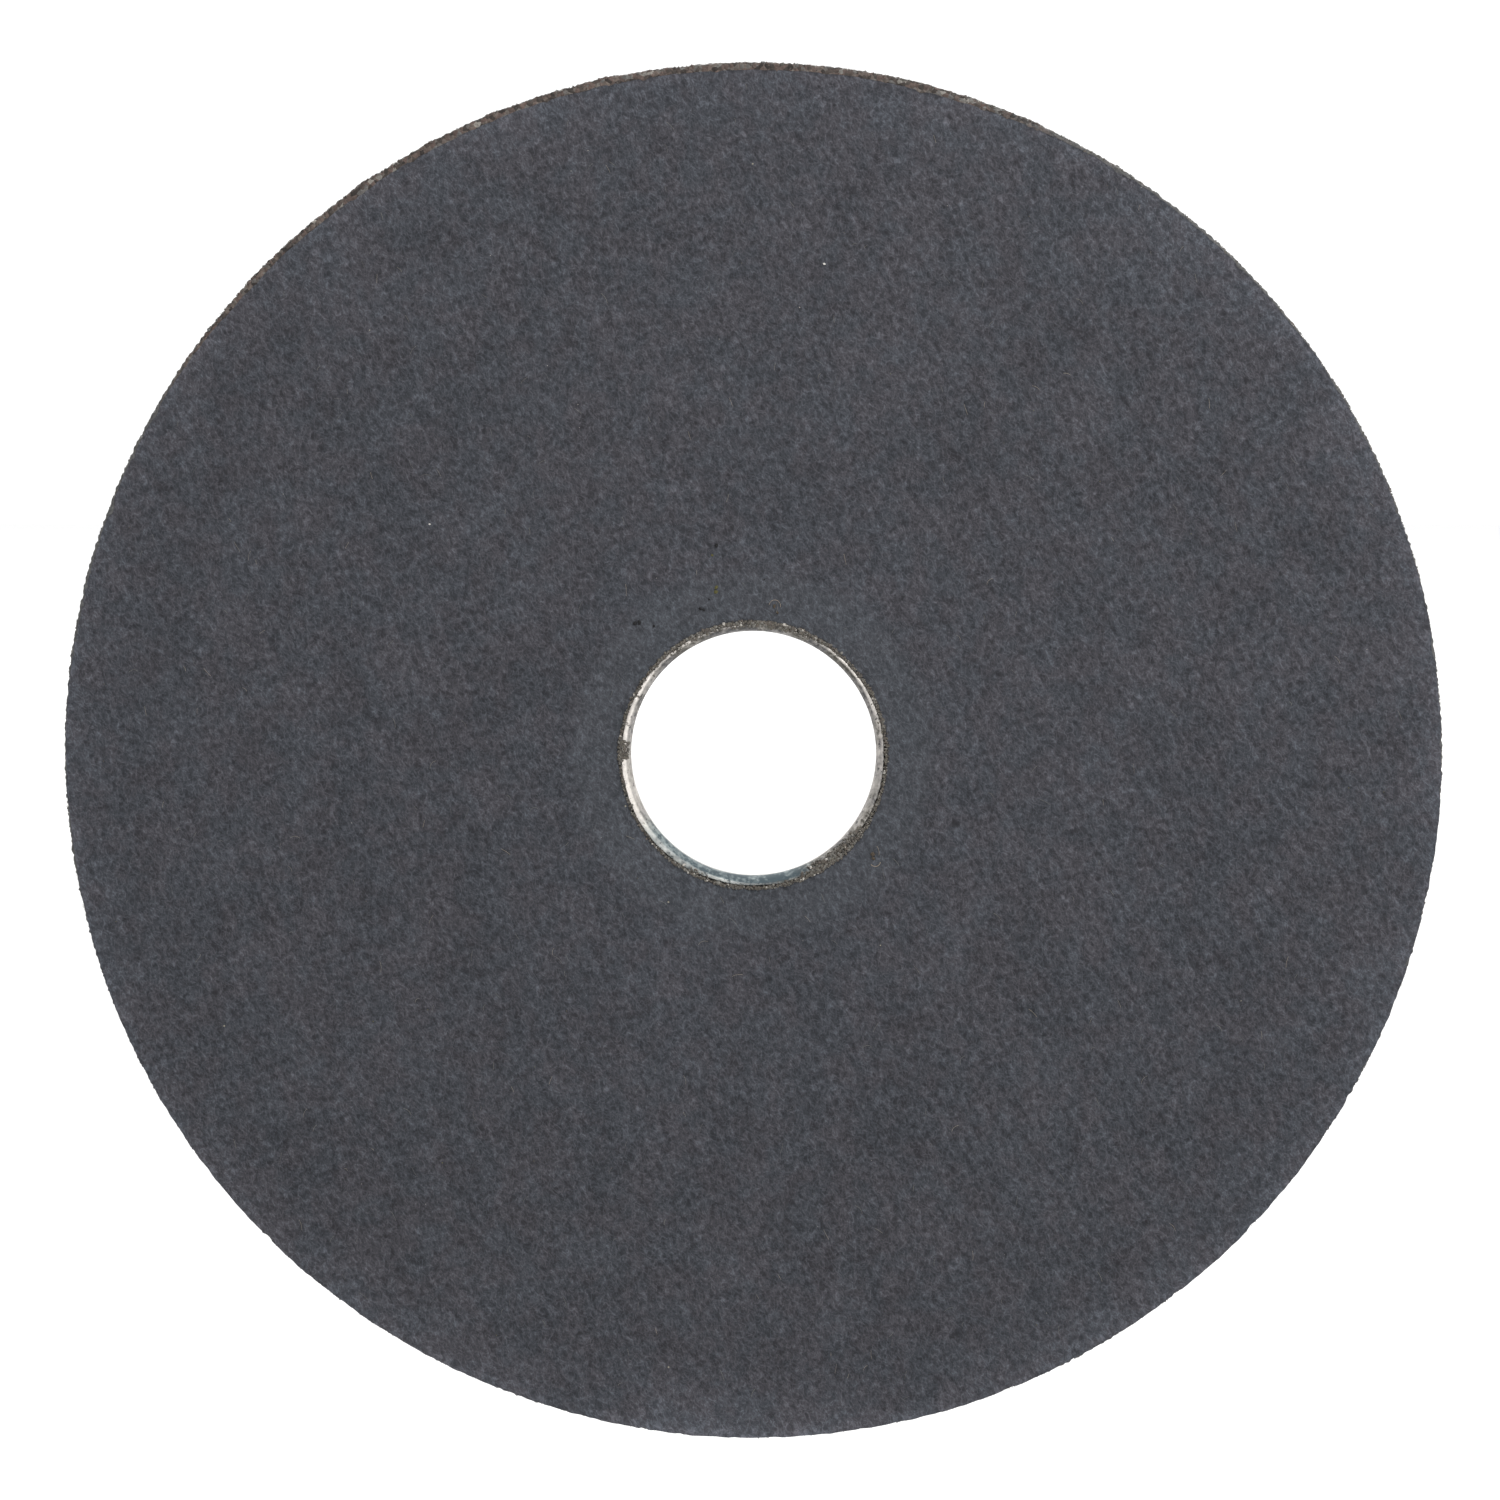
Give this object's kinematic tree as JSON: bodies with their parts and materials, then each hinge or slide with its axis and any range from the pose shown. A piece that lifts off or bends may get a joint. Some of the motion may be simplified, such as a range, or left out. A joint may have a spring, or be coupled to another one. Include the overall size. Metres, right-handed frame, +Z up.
{
  "type": "grinding wheel",
  "caption": "Thin flat abrasive cutting and grinding wheel: dark paper back, glass-reinforced grit body, and a flanged metal bore ring for an angle grinder spindle.",
  "frame": {"origin": "centre of the wheel: the middle of the bore, half way between the two ends of the bore ring", "axes": "+Y along the wheel's axis, from the dark paper back towards the label and the bore ring's flange; the wheel stands upright, +Z up and +X across"},
  "size_m": [0.1252, 0.003, 0.1252],
  "materials": {
    "backing_paper": "dark grey-blue fibrous paper, matt, with flecks",
    "glass_yarn": "resin-soaked glass yarn, open square weave",
    "abrasive": "brown fused alumina grit in dark phenolic resin, coarse and matt",
    "label": "printed paper, plain colour bands, semi-matt",
    "tinplate": "bright drawn tinplate with a dulled lip"
  },
  "bodies": {
    "root": {"back_paper": "backing_paper", "back_glass_mesh": "glass_yarn", "back_abrasive_layer": "abrasive", "centre_glass_mesh": "glass_yarn", "front_abrasive_layer": "abrasive", "front_glass_mesh": "glass_yarn", "front_label": "label", "bore_ring": "tinplate"}
  },
  "joints": []
}
